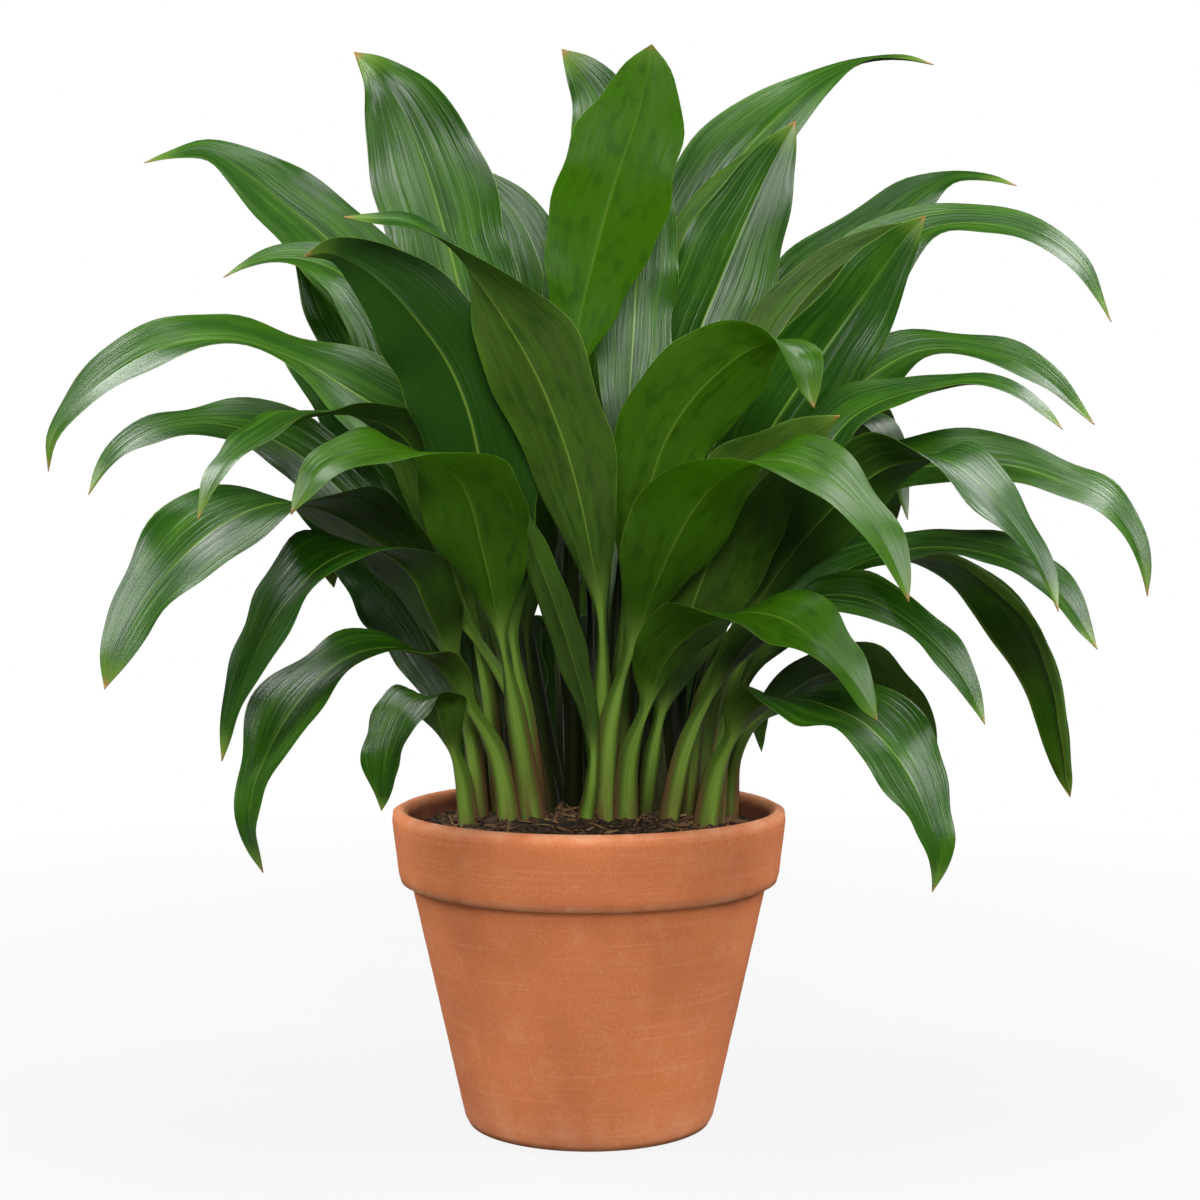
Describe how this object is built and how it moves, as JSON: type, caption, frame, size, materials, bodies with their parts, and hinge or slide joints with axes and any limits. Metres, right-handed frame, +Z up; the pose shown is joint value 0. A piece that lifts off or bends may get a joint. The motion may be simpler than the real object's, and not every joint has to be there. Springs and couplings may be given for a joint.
{
  "type": "potted cast iron plant",
  "caption": "Potted foliage plant: a clump of long arching green leaves on stalks, rising from soil in a tapered terracotta pot with a collar.",
  "frame": {"origin": "centre of the pot's base, on the surface that it stands on", "axes": "+Z up, -Y the plant's front, +X to the right seen from the front"},
  "size_m": [0.7344, 0.5501, 0.764],
  "materials": {
    "terracotta": "matte",
    "potting_soil": "matte",
    "leaf": "satin"
  },
  "bodies": {
    "root": {"pot": "terracotta", "soil": "potting_soil", "leaf_left_1": "leaf", "leaf_left_2": "leaf", "leaf_left_3": "leaf", "leaf_left_4": "leaf", "leaf_left_5": "leaf", "leaf_left_6": "leaf", "leaf_left_7": "leaf", "leaf_left_8": "leaf", "leaf_left_9": "leaf", "leaf_left_10": "leaf", "leaf_left_11": "leaf", "leaf_left_12": "leaf", "leaf_left_13": "leaf", "leaf_left_14": "leaf", "leaf_left_15": "leaf", "leaf_middle_1": "leaf", "leaf_middle_2": "leaf", "leaf_middle_3": "leaf", "leaf_middle_4": "leaf", "leaf_middle_5": "leaf", "leaf_middle_6": "leaf", "leaf_middle_7": "leaf", "leaf_middle_8": "leaf", "leaf_middle_9": "leaf", "leaf_middle_10": "leaf", "leaf_middle_11": "leaf", "leaf_middle_12": "leaf", "leaf_right_1": "leaf", "leaf_right_2": "leaf", "leaf_right_3": "leaf", "leaf_right_4": "leaf", "leaf_right_5": "leaf", "leaf_right_6": "leaf", "leaf_right_7": "leaf", "leaf_right_8": "leaf", "leaf_right_9": "leaf", "leaf_right_10": "leaf", "leaf_right_11": "leaf", "leaf_right_12": "leaf", "leaf_right_13": "leaf", "leaf_right_14": "leaf", "leaf_right_15": "leaf", "leaf_right_16": "leaf", "leaf_right_17": "leaf", "leaf_right_18": "leaf", "leaf_back_1": "leaf", "leaf_back_2": "leaf", "leaf_back_3": "leaf", "leaf_back_4": "leaf", "leaf_back_5": "leaf", "leaf_back_6": "leaf", "leaf_back_7": "leaf", "leaf_back_8": "leaf", "leaf_back_9": "leaf", "leaf_back_10": "leaf", "leaf_back_11": "leaf"}
  },
  "joints": []
}
